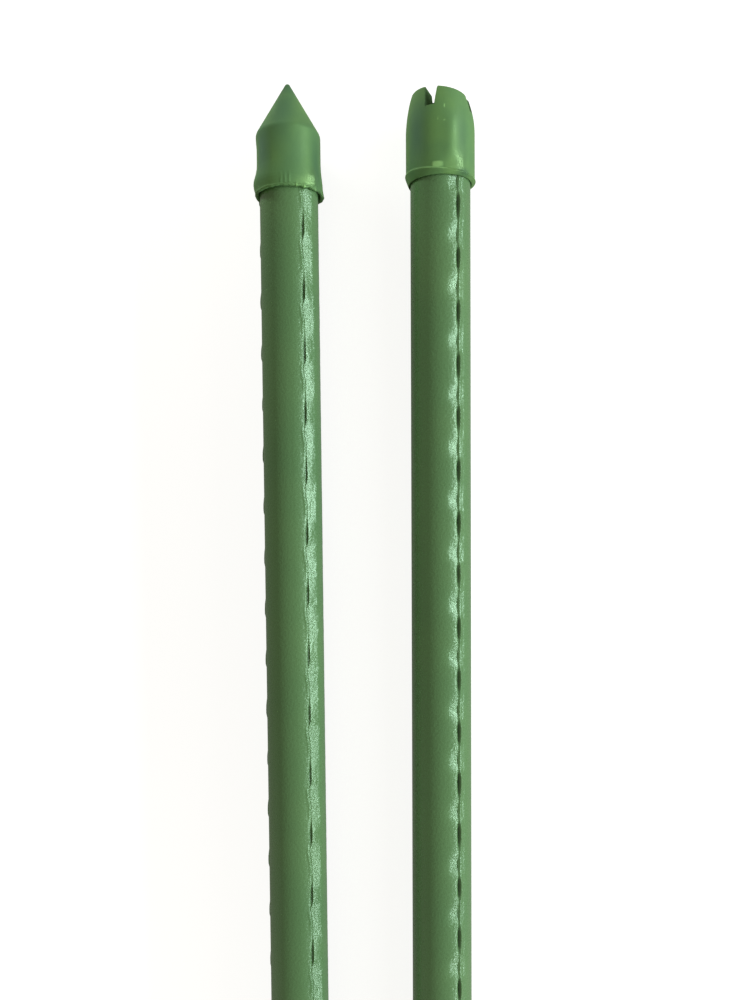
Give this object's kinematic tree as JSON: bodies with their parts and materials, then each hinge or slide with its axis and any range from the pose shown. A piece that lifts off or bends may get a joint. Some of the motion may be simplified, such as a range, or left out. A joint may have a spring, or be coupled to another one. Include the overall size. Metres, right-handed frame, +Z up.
{
  "type": "plant stake",
  "caption": "Plastic-coated steel plant stakes lying side by side, with raised nubs along the shaft, a moulded point on one end and a notched twine cap on the other.",
  "frame": {"origin": "on the floor under the middle of the box round both stakes", "axes": "+Y along the stakes, towards the ends that the picture shows, +X from the left stake to the right one, +Z up from the floor that the stakes lie on"},
  "size_m": [0.0418, 0.6054, 0.0129],
  "materials": {
    "tube_steel": "cold-rolled strip, satin",
    "coat_plastic": "extruded polyethylene, satin and finely grained",
    "fitting_plastic": "moulded polyethylene, satin"
  },
  "bodies": {
    "root": {"left_steel_tube": "tube_steel", "left_plastic_coat": "coat_plastic", "left_pointed_tip": "fitting_plastic", "left_notched_cap": "fitting_plastic", "right_steel_tube": "tube_steel", "right_plastic_coat": "coat_plastic", "right_pointed_tip": "fitting_plastic", "right_notched_cap": "fitting_plastic"}
  },
  "joints": []
}
